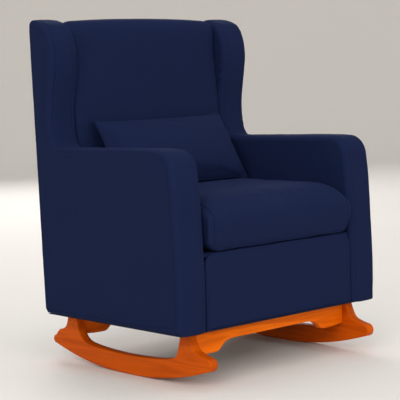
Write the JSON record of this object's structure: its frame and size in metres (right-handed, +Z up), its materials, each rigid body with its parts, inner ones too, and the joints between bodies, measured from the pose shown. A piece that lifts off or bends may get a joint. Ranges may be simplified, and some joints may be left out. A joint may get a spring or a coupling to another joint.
{
  "type": "nursery rocking chair",
  "caption": "Upholstered wing-back armchair on two curved wooden runners, with a loose seat cushion and a loose lumbar pillow.",
  "frame": {"origin": "on the floor, under the middle of the chair's outline seen from above", "axes": "+Z up, -Y the way the sitter faces, +X to the sitter's left"},
  "size_m": [0.76, 0.676, 0.981],
  "materials": {
    "navy_fabric": "matte",
    "cushion_fabric": "matte",
    "liner_cloth": "matte",
    "honey_wood": "satin",
    "frame_timber": "matte",
    "steel": "satin"
  },
  "bodies": {
    "chair_body": {"arm_and_wing_left": "navy_fabric", "arm_and_wing_right": "navy_fabric", "arm_bolt_front_left": "steel", "arm_bolt_front_right": "steel", "arm_bolt_rear_left": "steel", "arm_bolt_rear_right": "steel", "arm_timber_front_post_left": "frame_timber", "arm_timber_front_post_right": "frame_timber", "arm_timber_lower_left": "frame_timber", "arm_timber_lower_right": "frame_timber", "arm_timber_rear_post_left": "frame_timber", "arm_timber_rear_post_right": "frame_timber", "arm_timber_top_left": "frame_timber", "arm_timber_top_right": "frame_timber", "back_post_left": "frame_timber", "back_post_right": "frame_timber", "back_rail_lower": "frame_timber", "back_rail_top": "frame_timber", "back_strap_1": "liner_cloth", "back_strap_2": "liner_cloth", "back_strap_3": "liner_cloth", "barrel_nut_front_left": "steel", "barrel_nut_front_right": "steel", "barrel_nut_rear_left": "steel", "barrel_nut_rear_right": "steel", "body_bolt_front_left": "steel", "body_bolt_front_right": "steel", "body_bolt_rear_left": "steel", "body_bolt_rear_right": "steel", "corner_block_front_left": "honey_wood", "corner_block_front_right": "honey_wood", "corner_block_rear_left": "honey_wood", "corner_block_rear_right": "honey_wood", "dust_cover": "liner_cloth", "front_panel": "navy_fabric", "front_rail": "honey_wood", "inside_back": "navy_fabric", "outside_back": "navy_fabric", "rear_rail": "honey_wood", "rocker_bolt_front_left": "steel", "rocker_bolt_front_right": "steel", "rocker_bolt_rear_left": "steel", "rocker_bolt_rear_right": "steel", "rocker_left": "honey_wood", "rocker_right": "honey_wood", "seat_deck": "navy_fabric", "seat_frame_front": "frame_timber", "seat_frame_left": "frame_timber", "seat_frame_rear": "frame_timber", "seat_frame_right": "frame_timber", "seat_spring_1": "steel", "seat_spring_2": "steel", "seat_spring_3": "steel", "seat_spring_4": "steel", "seat_spring_5": "steel", "spring_strip_front": "steel", "spring_strip_rear": "steel"},
    "seat_cushion_body": {"seat_cushion": "cushion_fabric"},
    "lumbar_pillow_body": {"lumbar_pillow": "cushion_fabric"}
  },
  "joints": [
    {"name": "seat_cushion_lift", "type": "slide", "parent": "chair_body", "child": "seat_cushion_body", "axis": [0, 0, 1], "range_m": [0, 0.32]},
    {"name": "lumbar_pillow_lift", "type": "slide", "parent": "seat_cushion_body", "child": "lumbar_pillow_body", "axis": [0, 0, 1], "range_m": [0, 0.3]}
  ]
}
